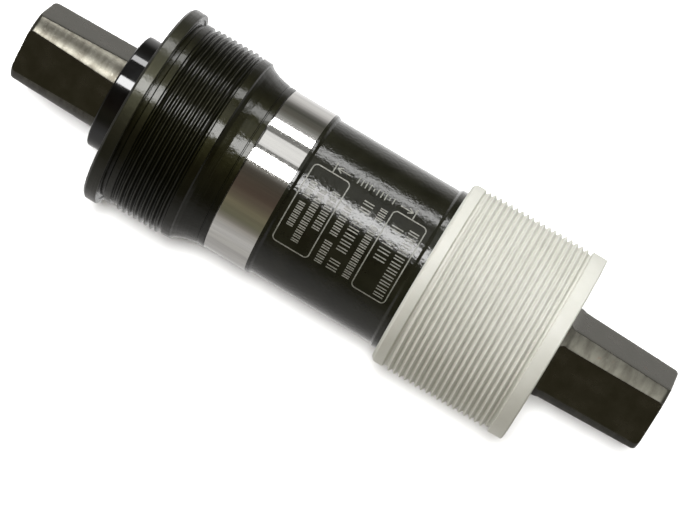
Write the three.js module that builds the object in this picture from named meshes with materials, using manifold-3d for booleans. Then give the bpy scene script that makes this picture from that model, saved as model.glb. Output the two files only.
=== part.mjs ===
// Square-taper cartridge bottom bracket for a 73 mm threaded bicycle shell.
//
// Millimetres. +X runs along the spindle towards the non-drive side, +Z is up, and the origin is
// the middle of the spindle on its axis. Lengths along the axis are given as stations: the distance
// from the drive-side tip of the spindle. Everything turned is listed as [station, radius] outlines.

import * as THREE from 'three';
import { mergeVertices } from 'three/addons/utils/BufferGeometryUtils.js';
import Module from 'manifold-3d';

const wasm = await Module();
wasm.setup();

// ---------------------------------------------------------------- driving dimensions

const SPINDLE_LENGTH = 123;
const FIT_GAP = 0.05;           // gap left between pieces that are pressed together
const FACET_GAP = 0.1;          // the same, between rings with unlike facets

// Square taper: 2 degrees on each face, measured from the tip
const SQUARE_HALF_AT_TIP = 6.325;
const SQUARE_TAPER = Math.tan(THREE.MathUtils.degToRad(2));
const DRIVE_SQUARE_LENGTH = 16.7;   // stops short of the dust collar
const NON_DRIVE_SQUARE_LENGTH = 18;
const RUN_OUT_RADIUS = 4;       // the cutter leaves this arc where a flat ends
const SQUARE_TURN = 24.5;       // degrees about the axis, the angle the spindle is stored at

// Turned envelope of each square end, with distances measured from that end's tip
const TIP_CHAMFER_LENGTH = 0.75;
const ENVELOPE_END = 18.4;
const DRIVE_ENVELOPE = { tip: 6.95, start: 7.53, end: 7.8, journalStart: 19.7 };
const NON_DRIVE_ENVELOPE = { tip: 6.95, start: 7.72, end: 8.3, journalStart: 19 };

const JOURNAL_RADIUS = 8.5;
const SPINDLE_CORE_RADIUS = 9.35;
const BOLT_BORE_RADIUS = 3.5;
const BOLT_BORE_DEPTH = 26;
const BOLT_MOUTH_RADIUS = 4.6;
const DRILL_POINT = 2.1;

// Bearings, 17 mm bore, 26 mm outside, 7 mm wide
const BEARING_WIDTH = 7;
const BEARING_BORE_RADIUS = JOURNAL_RADIUS + FACET_GAP;
const BEARING_OUTER_RADIUS = 12.95;
const DRIVE_BEARING_START = 29.5;
const NON_DRIVE_BEARING_START = SPINDLE_LENGTH - DRIVE_BEARING_START - BEARING_WIDTH;
const BALL_RADIUS = 3.175 / 2;
const BALL_COUNT = 12;
const BALL_PITCH_RADIUS = 10.75;
const RACEWAY_RADIUS = BALL_RADIUS + 0.2;
const INNER_SHOULDER_RADIUS = 9.6;
const OUTER_SHOULDER_RADIUS = 11.9;
const CAGE_WIDTH = 4.6;
const CAGE_WALL = 1;
const POCKET_RADIUS = BALL_RADIUS + 0.25;
const SEAL_THICKNESS = 0.4;
const SEAL_INSET = 0.3;

// Cartridge tube
const TUBE_START = 28.3;
const TUBE_END = 95.2;
const TUBE_SPIGOT_RADIUS = 14.4;
const TUBE_LAND_RADIUS = 15.28;
const TUBE_WAIST_RADIUS = 14.87;
const TUBE_SEAT_RADIUS = BEARING_OUTER_RADIUS + FACET_GAP;
const TUBE_BORE_RADIUS = 12.3;
const TUBE_SHOULDER = 43.3;
const WAIST_START = 52.5;
const WAIST_END = 75.6;
const WAIST_FILLET = 0.6;

// 1.37 inch, 24 threads to the inch, shared by the cup and the adapter
const THREAD_PITCH = 25.4 / 24;
const THREAD_CREST_RADIUS = 17.4;
const THREAD_ROOT_RADIUS = 16.75;

// Drive cup
const CUP_FACE = 21.3;
const CUP_END = 43.2;
const FLANGE_RADIUS = 18.5;
const FLANGE_CHAMFER = 0.4;
const SHELL_SEAT = 23.8;        // inner face of the flange, which meets the frame's shell
const SEAT_INNER_RADIUS = 17.6;
const UNDERCUT_RADIUS = 16.7;   // groove behind the seat, cut a little way into the flange too
const UNDERCUT_START = 23.6;
const UNDERCUT_END = 24.7;
const CUP_BAND_START = 24.8;    // plain band between the groove and the first thread
const CUP_BAND_END = 26;
const CUP_BAND_RADIUS = 17.3;
const CUP_BORE_RADIUS = TUBE_SPIGOT_RADIUS + FIT_GAP;
const CUP_WEB_START = 27.3;
const CUP_WEB_END = 28.2;
const CUP_WEB_HOLE_RADIUS = 10.8;
const CUP_FIRST_CREST = 26.7;
const CUP_CRESTS = 9;
const CUP_LAND_RADIUS = 17.2;   // plain land behind the thread
// From the land the cup tapers down to its neck in an ogee of [station, radius]
const CUP_TAPER = [[37.6, 17.05], [37.8, 16.8], [38.9, 16.2], [40, 15.75], [41.1, 15.5]];
const CUP_NECK_START = 41.9;
const CUP_NECK_RADIUS = 15.4;
const NECK_GROOVE_START = 42;
const NECK_GROOVE_END = 42.2;
const NECK_GROOVE_RADIUS = 15.25;

// Non-drive adapter
const ADAPTER_START = 77.2;
const ADAPTER_FACE = 103;
const ADAPTER_BORE_RADIUS = 15.35;
const ADAPTER_LIP_START = 95.4;
const ADAPTER_LIP_END = 96.9;
const ADAPTER_LIP_RADIUS = 13.6;
const ADAPTER_EDGE = 0.5;
const ADAPTER_BAND_END = 79.5;
const ADAPTER_BAND_RADIUS = 17.25;
const ADAPTER_RIM_START = 100.25;
const ADAPTER_RIM_RADIUS = 17.5;
const ADAPTER_RIM_CHAMFER = 0.4;
const ADAPTER_FIRST_CREST = 80.5;
const ADAPTER_CRESTS = 19;

// Splines for the tool, the same in the cup and in the adapter
const SPLINE_COUNT = 20;
const SPLINE_MINOR_RADIUS = 14.9;
const SPLINE_MAJOR_RADIUS = 15.95;
const SPLINE_NOTCH_WIDTH = 2.2;

// Dust collars and the lip seals inside them
const COLLAR_RADIUS = 10.6;
const COLLAR_BORE_RADIUS = 8.9;
const COLLAR_FLANGE_RADIUS = 12.9;
const COLLAR_FLANGE_WIDTH = 1.1;
const COLLAR_EDGE = 0.3;
const DRIVE_COLLAR_FACE = 17.2;
const NON_DRIVE_COLLAR_FACE = 101;
const LIP_SEAL_GROOVE_RADIUS = 9.95;
const LIP_SEAL_GROOVE_WIDTH = 2;
const DRIVE_LIP_DEPTH = 5.8;    // from the collar's face to its groove
const NON_DRIVE_LIP_DEPTH = 2;
const LIP_RADIUS = 8.65;

// Facets round the axis: fine for what shows, coarser for what is sealed inside
const OUTSIDE_SEGMENTS = 32;
const INSIDE_SEGMENTS = 24;

// ---------------------------------------------------------------- materials

function finish(color, roughness, metalness) {
  return new THREE.MeshStandardMaterial({ color, roughness, metalness });
}

const SPINDLE_STEEL = finish(0x3a3831, 0.42, 0.85);
const CUP_STEEL = finish(0x2b2c22, 0.4, 0.7);
const TUBE_STEEL = finish(0x18181a, 0.2, 0.6);
const ADAPTER_RESIN = finish(0xd6d5cb, 0.5, 0);
const COLLAR_PLASTIC = finish(0x060607, 0.12, 0);
const RING_STEEL = finish(0xb9bcc0, 0.2, 1);
const BALL_STEEL = finish(0xd8dadd, 0.08, 1);
const CAGE_NYLON = finish(0x8a6b3c, 0.55, 0);
const SEAL_RUBBER = finish(0x101010, 0.7, 0);

// ---------------------------------------------------------------- solids

/** A closed geometry as a Manifold, with its faces turned outwards. */
function toSolid(geometry) {
  const bare = geometry.clone();
  bare.deleteAttribute('normal');
  bare.deleteAttribute('uv');
  const merged = mergeVertices(bare, 1e-4);
  const position = merged.attributes.position;
  const corners = merged.index.array;
  const kept = [];
  const a = new THREE.Vector3();
  const b = new THREE.Vector3();
  const c = new THREE.Vector3();
  let volume = 0;
  for (let i = 0; i < corners.length; i += 3) {
    const [u, v, w] = [corners[i], corners[i + 1], corners[i + 2]];
    if (u === v || v === w || w === u) continue;
    kept.push(u, v, w);
    a.fromBufferAttribute(position, u);
    b.fromBufferAttribute(position, v);
    c.fromBufferAttribute(position, w);
    volume += a.dot(b.cross(c));
  }
  if (volume < 0) kept.reverse();
  return new wasm.Manifold(new wasm.Mesh({
    numProp: 3,
    vertProperties: new Float32Array(position.array),
    triVerts: new Uint32Array(kept),
  }));
}

/** A Manifold back as a BufferGeometry. */
function toGeometry(solid) {
  const mesh = solid.getMesh();
  const geometry = new THREE.BufferGeometry();
  geometry.setAttribute('position', new THREE.BufferAttribute(new Float32Array(mesh.vertProperties), 3));
  geometry.setIndex(new THREE.BufferAttribute(new Uint32Array(mesh.triVerts), 1));
  geometry.computeVertexNormals();
  return geometry;
}

/** Turns a closed [station, radius] outline about the X axis. */
function turned(outline, segments = OUTSIDE_SEGMENTS) {
  const points = outline.map(([station, radius]) => new THREE.Vector2(radius, station - SPINDLE_LENGTH / 2));
  const startsOnAxis = outline[0][1] === 0;
  if (!startsOnAxis) points.push(points[0].clone());
  return toSolid(new THREE.LatheGeometry(points, segments).rotateZ(-Math.PI / 2));
}

/** The same outline at the other end of the spindle. */
function mirrored(outline) {
  return outline.map(([station, radius]) => [SPINDLE_LENGTH - station, radius]).reverse();
}

/** Crests and roots of a 24 TPI thread, as one ring for each turn. */
function threadOutline(firstCrest, crests) {
  const outline = [[firstCrest - THREAD_PITCH / 2, THREAD_ROOT_RADIUS]];
  for (let i = 0; i < crests; i += 1) {
    const crest = firstCrest + i * THREAD_PITCH;
    outline.push([crest, THREAD_CREST_RADIUS], [crest + THREAD_PITCH / 2, THREAD_ROOT_RADIUS]);
  }
  return outline;
}

/** A box whose length runs from one station to another, centred on the +Z side of the axis. */
function barAt(from, to, width, innerRadius, outerRadius) {
  const bar = new THREE.BoxGeometry(to - from, width, outerRadius - innerRadius);
  return bar.translate((from + to - SPINDLE_LENGTH) / 2, 0, (innerRadius + outerRadius) / 2);
}

const turnedRound = (geometry, turns) => geometry.clone().rotateX(turns * 2 * Math.PI);

/** Cuts the tool's spline notches into the mouth of a recess. */
function cutSplines(solid, from, to) {
  const notch = barAt(from, to, SPLINE_NOTCH_WIDTH, SPLINE_MINOR_RADIUS - 1, SPLINE_MAJOR_RADIUS);
  let cut = solid;
  for (let i = 0; i < SPLINE_COUNT; i += 1) cut = cut.subtract(toSolid(turnedRound(notch, i / SPLINE_COUNT)));
  return cut;
}

// ---------------------------------------------------------------- spindle

/** What one pass of the cutter removes to leave a tapered flat and its run-out arc. */
function flatCutter(length) {
  const outside = 14;
  const overrun = 2;
  const flatHeight = (station) => SQUARE_HALF_AT_TIP + station * SQUARE_TAPER;
  const shape = new THREE.Shape();
  shape.moveTo(-overrun, flatHeight(-overrun));
  shape.lineTo(length, flatHeight(length));
  const steps = 6;
  const sweep = Math.PI / 2.6;
  for (let i = 1; i <= steps; i += 1) {
    const angle = (i / steps) * sweep;
    const height = flatHeight(length) + RUN_OUT_RADIUS * (1 - Math.cos(angle));
    shape.lineTo(length + RUN_OUT_RADIUS * Math.sin(angle), height);
  }
  shape.lineTo(length + RUN_OUT_RADIUS, outside);
  shape.lineTo(-overrun, outside);
  const depth = 2 * outside;
  const cutter = new THREE.ExtrudeGeometry(shape, { depth, bevelEnabled: false, steps: 1 });
  cutter.translate(-SPINDLE_LENGTH / 2, 0, -depth / 2);
  return cutter.rotateX(Math.PI / 2);
}

/** Half of the spindle's outline, from its drill point out over the tip and in to the middle. */
function halfSpindleOutline(envelope) {
  const shoulder = DRIVE_BEARING_START + BEARING_WIDTH + FIT_GAP;
  return [
    [BOLT_BORE_DEPTH + DRILL_POINT, 0],
    [BOLT_BORE_DEPTH, BOLT_BORE_RADIUS],
    [BOLT_MOUTH_RADIUS - BOLT_BORE_RADIUS, BOLT_BORE_RADIUS],
    [0, BOLT_MOUTH_RADIUS],
    [0, envelope.tip],
    [TIP_CHAMFER_LENGTH, envelope.start],
    [ENVELOPE_END, envelope.end],
    [envelope.journalStart, JOURNAL_RADIUS],
    [shoulder, JOURNAL_RADIUS],
    [shoulder, SPINDLE_CORE_RADIUS],
  ];
}

function spindle() {
  const driveHalf = halfSpindleOutline(DRIVE_ENVELOPE);
  const nonDriveHalf = mirrored(halfSpindleOutline(NON_DRIVE_ENVELOPE));
  let solid = turned([...driveHalf, ...nonDriveHalf]);
  const driveCutter = flatCutter(DRIVE_SQUARE_LENGTH);
  const nonDriveCutter = flatCutter(NON_DRIVE_SQUARE_LENGTH).scale(-1, 1, 1);
  for (let side = 0; side < 4; side += 1) {
    const turns = SQUARE_TURN / 360 + side / 4;
    solid = solid.subtract(toSolid(turnedRound(driveCutter, turns)));
    solid = solid.subtract(toSolid(turnedRound(nonDriveCutter, turns)));
  }
  return solid;
}

// ---------------------------------------------------------------- shell side

function cartridgeTube() {
  const driveShoulder = DRIVE_BEARING_START + BEARING_WIDTH + FIT_GAP;
  const middleRadius = (TUBE_LAND_RADIUS + TUBE_WAIST_RADIUS) / 2;
  return turned([
    [TUBE_START, TUBE_SPIGOT_RADIUS],
    [TUBE_SHOULDER, TUBE_SPIGOT_RADIUS],
    [TUBE_SHOULDER, TUBE_LAND_RADIUS],
    [WAIST_START - WAIST_FILLET, TUBE_LAND_RADIUS],
    [WAIST_START - WAIST_FILLET / 2, middleRadius],
    [WAIST_START, TUBE_WAIST_RADIUS],
    [WAIST_END, TUBE_WAIST_RADIUS],
    [WAIST_END + WAIST_FILLET / 2, middleRadius],
    [WAIST_END + WAIST_FILLET, TUBE_LAND_RADIUS],
    [TUBE_END, TUBE_LAND_RADIUS],
    [TUBE_END, TUBE_SEAT_RADIUS],
    [SPINDLE_LENGTH - driveShoulder, TUBE_SEAT_RADIUS],
    [SPINDLE_LENGTH - driveShoulder, TUBE_BORE_RADIUS],
    [driveShoulder, TUBE_BORE_RADIUS],
    [driveShoulder, TUBE_SEAT_RADIUS],
    [TUBE_START, TUBE_SEAT_RADIUS],
  ]);
}

function driveCup() {
  const threadEnd = CUP_FIRST_CREST + (CUP_CRESTS - 0.5) * THREAD_PITCH;
  const outline = [
    [CUP_FACE, FLANGE_RADIUS - FLANGE_CHAMFER],
    [CUP_FACE + FLANGE_CHAMFER, FLANGE_RADIUS],
    [SHELL_SEAT - FLANGE_CHAMFER / 2, FLANGE_RADIUS],
    [SHELL_SEAT, FLANGE_RADIUS - FLANGE_CHAMFER / 2],
    [SHELL_SEAT, SEAT_INNER_RADIUS],
    [UNDERCUT_START, SEAT_INNER_RADIUS],
    [UNDERCUT_START, UNDERCUT_RADIUS],
    [UNDERCUT_END, UNDERCUT_RADIUS],
    [CUP_BAND_START, CUP_BAND_RADIUS],
    [CUP_BAND_END, CUP_BAND_RADIUS],
    ...threadOutline(CUP_FIRST_CREST, CUP_CRESTS),
    [threadEnd + 0.1, CUP_LAND_RADIUS],
    ...CUP_TAPER,
    [CUP_NECK_START, CUP_NECK_RADIUS],
    [NECK_GROOVE_START, NECK_GROOVE_RADIUS],
    [NECK_GROOVE_END, NECK_GROOVE_RADIUS],
    [NECK_GROOVE_END + 0.1, CUP_NECK_RADIUS],
    [CUP_END, CUP_NECK_RADIUS],
    [CUP_END, CUP_BORE_RADIUS],
    [CUP_WEB_END, CUP_BORE_RADIUS],
    [CUP_WEB_END, CUP_WEB_HOLE_RADIUS],
    [CUP_WEB_START, CUP_WEB_HOLE_RADIUS],
    [CUP_WEB_START, SPLINE_MINOR_RADIUS],
    [CUP_FACE, SPLINE_MINOR_RADIUS],
  ];
  return cutSplines(turned(outline), CUP_FACE - 1, CUP_WEB_START - 0.2);
}

function nonDriveAdapter() {
  const outline = [
    [ADAPTER_START, ADAPTER_BAND_RADIUS - ADAPTER_EDGE],
    [ADAPTER_START + ADAPTER_EDGE, ADAPTER_BAND_RADIUS],
    [ADAPTER_BAND_END, ADAPTER_BAND_RADIUS],
    ...threadOutline(ADAPTER_FIRST_CREST, ADAPTER_CRESTS),
    [ADAPTER_RIM_START, THREAD_ROOT_RADIUS],
    [ADAPTER_RIM_START, ADAPTER_RIM_RADIUS - ADAPTER_RIM_CHAMFER / 2],
    [ADAPTER_RIM_START + ADAPTER_RIM_CHAMFER / 2, ADAPTER_RIM_RADIUS],
    [ADAPTER_FACE - ADAPTER_RIM_CHAMFER, ADAPTER_RIM_RADIUS],
    [ADAPTER_FACE, ADAPTER_RIM_RADIUS - ADAPTER_RIM_CHAMFER],
    [ADAPTER_FACE, SPLINE_MINOR_RADIUS],
    [ADAPTER_LIP_END, SPLINE_MINOR_RADIUS],
    [ADAPTER_LIP_END, ADAPTER_LIP_RADIUS],
    [ADAPTER_LIP_START, ADAPTER_LIP_RADIUS],
    [ADAPTER_LIP_START, ADAPTER_BORE_RADIUS],
    [ADAPTER_START + ADAPTER_EDGE, ADAPTER_BORE_RADIUS],
    [ADAPTER_START, ADAPTER_BORE_RADIUS + ADAPTER_EDGE],
  ];
  return cutSplines(turned(outline), ADAPTER_LIP_END + 0.2, ADAPTER_FACE + 1);
}

/** A dust collar that runs from its outer face back to its flange, in drive-side stations. */
function collarOutline(face, flangeStart, lipDepth) {
  const grooveStart = face + lipDepth;
  return [
    [face, COLLAR_RADIUS - COLLAR_EDGE],
    [face + COLLAR_EDGE, COLLAR_RADIUS],
    [flangeStart, COLLAR_RADIUS],
    [flangeStart, COLLAR_FLANGE_RADIUS],
    [flangeStart + COLLAR_FLANGE_WIDTH, COLLAR_FLANGE_RADIUS],
    [flangeStart + COLLAR_FLANGE_WIDTH, COLLAR_BORE_RADIUS],
    [grooveStart + LIP_SEAL_GROOVE_WIDTH, COLLAR_BORE_RADIUS],
    [grooveStart + LIP_SEAL_GROOVE_WIDTH, LIP_SEAL_GROOVE_RADIUS],
    [grooveStart, LIP_SEAL_GROOVE_RADIUS],
    [grooveStart, COLLAR_BORE_RADIUS],
    [face, COLLAR_BORE_RADIUS],
  ];
}

/** The lip seal that sits in a collar's groove and wipes the spindle. */
function lipSealOutline(face, lipDepth) {
  const start = face + lipDepth + FIT_GAP;
  const end = start + LIP_SEAL_GROOVE_WIDTH - 2 * FIT_GAP;
  const outer = LIP_SEAL_GROOVE_RADIUS - FIT_GAP;
  return [
    [start, outer],
    [end, outer],
    [end, COLLAR_BORE_RADIUS + 0.1],
    [(start + end) / 2, LIP_RADIUS],
    [start, COLLAR_BORE_RADIUS + 0.1],
  ];
}

// ---------------------------------------------------------------- bearings

/** Raceway arc from one side of a ring to the other; side is -1 for the inner ring, 1 for the outer. */
function racewayArc(middle, shoulderRadius, side) {
  const steps = 3;
  const halfAngle = Math.acos(Math.abs(shoulderRadius - BALL_PITCH_RADIUS) / RACEWAY_RADIUS);
  const arc = [];
  for (let i = 0; i <= steps; i += 1) {
    const angle = halfAngle * ((2 * i) / steps - 1);
    const station = middle + RACEWAY_RADIUS * Math.sin(angle);
    arc.push([station, BALL_PITCH_RADIUS + side * RACEWAY_RADIUS * Math.cos(angle)]);
  }
  return arc;
}

function bearing(prefix, start) {
  const end = start + BEARING_WIDTH;
  const middle = start + BEARING_WIDTH / 2;
  const inside = (outline) => turned(outline, INSIDE_SEGMENTS);
  const ring = (from, to, innerRadius, outerRadius) => inside([
    [from, outerRadius],
    [to, outerRadius],
    [to, innerRadius],
    [from, innerRadius],
  ]);

  const innerRing = inside([
    [end, BEARING_BORE_RADIUS],
    [start, BEARING_BORE_RADIUS],
    [start, INNER_SHOULDER_RADIUS],
    ...racewayArc(middle, INNER_SHOULDER_RADIUS, -1),
    [end, INNER_SHOULDER_RADIUS],
  ]);
  const outerRing = inside([
    [end, BEARING_OUTER_RADIUS],
    [start, BEARING_OUTER_RADIUS],
    [start, OUTER_SHOULDER_RADIUS],
    ...racewayArc(middle, OUTER_SHOULDER_RADIUS, 1),
    [end, OUTER_SHOULDER_RADIUS],
  ]);

  const cageInner = BALL_PITCH_RADIUS - CAGE_WALL / 2;
  const cageOuter = BALL_PITCH_RADIUS + CAGE_WALL / 2;
  let cage = ring(middle - CAGE_WIDTH / 2, middle + CAGE_WIDTH / 2, cageInner, cageOuter);
  const pocketSides = 8;
  const pocket = new THREE.CylinderGeometry(POCKET_RADIUS, POCKET_RADIUS, 4 * CAGE_WALL, pocketSides);
  pocket.rotateX(Math.PI / 2).translate(middle - SPINDLE_LENGTH / 2, 0, BALL_PITCH_RADIUS);
  const ball = new THREE.IcosahedronGeometry(BALL_RADIUS, 1);
  ball.translate(middle - SPINDLE_LENGTH / 2, 0, BALL_PITCH_RADIUS);
  const balls = [];
  for (let i = 0; i < BALL_COUNT; i += 1) {
    cage = cage.subtract(toSolid(turnedRound(pocket, i / BALL_COUNT)));
    const number = String(i + 1).padStart(2, '0');
    balls.push([`${prefix}_bearing_ball_${number}`, toSolid(turnedRound(ball, i / BALL_COUNT)), BALL_STEEL]);
  }

  const sealInner = INNER_SHOULDER_RADIUS + 0.15;
  const sealOuter = OUTER_SHOULDER_RADIUS - FIT_GAP;
  const leftSeal = ring(start + SEAL_INSET, start + SEAL_INSET + SEAL_THICKNESS, sealInner, sealOuter);
  const rightSeal = ring(end - SEAL_INSET - SEAL_THICKNESS, end - SEAL_INSET, sealInner, sealOuter);
  const leftIsOutboard = middle < SPINDLE_LENGTH / 2;
  return [
    [`${prefix}_bearing_inner_ring`, innerRing, RING_STEEL],
    [`${prefix}_bearing_outer_ring`, outerRing, RING_STEEL],
    [`${prefix}_bearing_cage`, cage, CAGE_NYLON],
    [`${prefix}_bearing_outboard_seal`, leftIsOutboard ? leftSeal : rightSeal, SEAL_RUBBER],
    [`${prefix}_bearing_inboard_seal`, leftIsOutboard ? rightSeal : leftSeal, SEAL_RUBBER],
    ...balls,
  ];
}

// ---------------------------------------------------------------- assembly

const driveFlangeStart = DRIVE_BEARING_START - FIT_GAP - COLLAR_FLANGE_WIDTH;
const nonDriveFaceMirrored = SPINDLE_LENGTH - NON_DRIVE_COLLAR_FACE;
const driveCollar = collarOutline(DRIVE_COLLAR_FACE, driveFlangeStart, DRIVE_LIP_DEPTH);
const nonDriveCollar = mirrored(collarOutline(nonDriveFaceMirrored, driveFlangeStart, NON_DRIVE_LIP_DEPTH));
const driveLip = lipSealOutline(DRIVE_COLLAR_FACE, DRIVE_LIP_DEPTH);
const nonDriveLip = mirrored(lipSealOutline(nonDriveFaceMirrored, NON_DRIVE_LIP_DEPTH));

const pieces = [
  ['spindle', spindle(), SPINDLE_STEEL],
  ['cartridge_tube', cartridgeTube(), TUBE_STEEL],
  ['drive_cup', driveCup(), CUP_STEEL],
  ['non_drive_adapter', nonDriveAdapter(), ADAPTER_RESIN],
  ['drive_dust_collar', turned(driveCollar, INSIDE_SEGMENTS), COLLAR_PLASTIC],
  ['non_drive_dust_collar', turned(nonDriveCollar, INSIDE_SEGMENTS), COLLAR_PLASTIC],
  ['drive_lip_seal', turned(driveLip, INSIDE_SEGMENTS), SEAL_RUBBER],
  ['non_drive_lip_seal', turned(nonDriveLip, INSIDE_SEGMENTS), SEAL_RUBBER],
  ...bearing('drive', DRIVE_BEARING_START),
  ...bearing('non_drive', NON_DRIVE_BEARING_START),
];

const bottomBracket = new THREE.Group();
bottomBracket.name = 'bottom_bracket';
for (const [name, solid, material] of pieces) {
  const mesh = new THREE.Mesh(toGeometry(solid), material);
  mesh.name = name;
  bottomBracket.add(mesh);
}

export default bottomBracket;
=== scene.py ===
"""Looks of the square-taper cartridge bottom bracket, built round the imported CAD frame.

Lengths are millimetres until a mesh is made. Along the axis a place is a station: the distance from
the drive-side tip of the spindle. Round the axis an angle is measured from +Z towards +Y.
"""

import math

import bpy
import numpy as np
from mathutils import Matrix, Vector


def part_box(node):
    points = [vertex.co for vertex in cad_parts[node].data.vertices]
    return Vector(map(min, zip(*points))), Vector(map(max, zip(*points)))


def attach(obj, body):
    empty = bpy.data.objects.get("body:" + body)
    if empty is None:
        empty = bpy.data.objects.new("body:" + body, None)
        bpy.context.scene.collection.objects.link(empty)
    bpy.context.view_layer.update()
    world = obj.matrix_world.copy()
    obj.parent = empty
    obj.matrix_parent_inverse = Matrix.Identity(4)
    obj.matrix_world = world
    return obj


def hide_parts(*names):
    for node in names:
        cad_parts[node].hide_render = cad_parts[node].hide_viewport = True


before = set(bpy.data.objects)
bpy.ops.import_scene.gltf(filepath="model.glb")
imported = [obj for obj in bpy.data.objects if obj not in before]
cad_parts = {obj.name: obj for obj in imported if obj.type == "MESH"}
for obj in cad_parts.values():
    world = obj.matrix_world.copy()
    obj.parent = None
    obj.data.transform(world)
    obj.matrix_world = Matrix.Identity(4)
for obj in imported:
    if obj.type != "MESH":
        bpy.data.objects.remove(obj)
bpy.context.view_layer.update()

MM = 0.001
TAU = 2 * math.pi

# ------------------------------------------------------------------ sizes read from the frame

TIP_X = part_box("spindle")[0].x


def station_of(x):
    """Millimetres from the drive-side tip to a frame coordinate."""
    return (x - TIP_X) / MM


def stations(node):
    """First and last station of a CAD node."""
    low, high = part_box(node)
    return station_of(low.x), station_of(high.x)


def radius_of(node):
    """Largest radius of a CAD node that is round."""
    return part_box(node)[1].z / MM


LENGTH = stations("spindle")[1]
CUP_FACE, CUP_END = stations("drive_cup")
FLANGE_R = radius_of("drive_cup")
ADAPTER_START, ADAPTER_FACE = stations("non_drive_adapter")
RIM_R = radius_of("non_drive_adapter")
TUBE_START, TUBE_END = stations("cartridge_tube")
LAND_R = radius_of("cartridge_tube")
COLLAR_FACE, COLLAR_BACK = stations("drive_dust_collar")
FAR_COLLAR_BACK, FAR_COLLAR_FACE = stations("non_drive_dust_collar")
COLLAR_FLANGE_R = radius_of("drive_dust_collar")

# ------------------------------------------------------------------ sizes shared with the CAD

PITCH = 25.4 / 24
THREAD_CREST_R = 17.4
THREAD_ROOT_R = 16.78
SPLINES = 20
SPLINE_MINOR_R = 14.9
SPLINE_MAJOR_R = 15.95
SPLINE_WIDTH = 2.2
SHELL_SEAT = CUP_FACE + 2.5
CUP_FIRST_CREST = 26.7
ADAPTER_FIRST_CREST = 80.5
WAIST_START = 52.5
WAIST_END = 75.6
WAIST_R = 14.87
PAINT_START = 51.3
COLLAR_R = 10.6
COLLAR_BORE_R = 8.9
JOURNAL_R = 8.5
CORE_R = 9.35
TAPER = math.tan(math.radians(2))
SQUARE_HALF = 6.325
DRIVE_SQUARE_LENGTH = 16.7
NON_DRIVE_SQUARE_LENGTH = 18.0
RUN_OUT_R = 4.0
SQUARE_TURN = -math.radians(24.5)
BOLT_R = 3.5
BEARING_SHOULDER = 36.55
BOLT_MOUTH_R = 4.6
BOLT_DEPTH = 26.0

SMOOTH_ANGLE = math.radians(38)


# ------------------------------------------------------------------ meshes

def facing_out(vertices, faces):
    """Turns the faces of a closed mesh over if they point inwards."""
    points = np.array([tuple(v) for v in vertices], float)
    triangles = np.array([(face[0], face[k], face[k + 1])
                          for face in faces for k in range(1, len(face) - 1)])
    one, two, three = (points[triangles[:, i]] for i in range(3))
    volume = np.sum(one * np.cross(two, three))
    return faces if volume > 0 else [tuple(reversed(face)) for face in faces]


def mesh_object(name, vertices, faces, zones=None, materials=(), closed=True):
    """A smooth-shaded object from points in metres; zones gives each face's material number."""
    if closed:
        faces = facing_out(vertices, faces)
    mesh = bpy.data.meshes.new(name)
    mesh.from_pydata([tuple(v) for v in vertices], [], faces)
    for material in materials:
        mesh.materials.append(material)
    if zones is not None:
        mesh.polygons.foreach_set("material_index", np.asarray(zones, np.int32))
    mesh.polygons.foreach_set("use_smooth", np.ones(len(mesh.polygons), bool))
    mesh.update()
    mesh.set_sharp_from_angle(angle=SMOOTH_ANGLE)
    piece = bpy.data.objects.new(name, mesh)
    bpy.context.scene.collection.objects.link(piece)
    return piece


def points_of(a, angle, r):
    """Rows of points in metres from stations, angles and radii."""
    a, angle, r = np.broadcast_arrays(a, angle, r)
    return np.stack([TIP_X + a * MM, r * MM * np.sin(angle), r * MM * np.cos(angle)], axis=-1)


def skin(name, rows, materials, closed=True):
    """Joins rows of [station, angles, radii, zone] into one solid turned about the axis.

    A zone is one material number for the row, or one for each of its columns. A closed skin joins
    its last row to its first, as a ring does. An open one starts and ends on the axis.
    """
    count = len(rows[0][1])
    grid = np.array([points_of(a, angle, r) for a, angle, r, _ in rows])
    vertices = grid.reshape(-1, 3)
    faces, zones = [], []
    steps = len(rows) if closed else len(rows) - 1
    for i in range(steps):
        j = (i + 1) % len(rows)
        for k in range(count):
            n = (k + 1) % count
            faces.append((i * count + k, i * count + n, j * count + n, j * count + k))
        zones += np.broadcast_to(rows[i][3], count).tolist()
    if not closed:
        vertices = np.vstack([vertices, axis_point(rows[0][0]), axis_point(rows[-1][0])])
        first, last = len(vertices) - 2, len(vertices) - 1
        top = (len(rows) - 1) * count
        for k in range(count):
            n = (k + 1) % count
            faces.append((first, n, k))
            faces.append((last, top + k, top + n))
            zones += [0, 0]
    return mesh_object(name, vertices, faces, zones, materials)


def axis_point(a):
    return np.array([[TIP_X + float(np.mean(a)) * MM, 0, 0]])


def even_angles(count):
    return np.arange(count) * TAU / count


LONGEST_REACH = 0.48          # share of the line beside a corner that its fillet may take
SUPPORT = 0.12                # longest step from a fillet to its support row
SUPPORT_SHARE = 0.02          # and the share of the line that the step may take
FILLET_STEPS = 4


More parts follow.
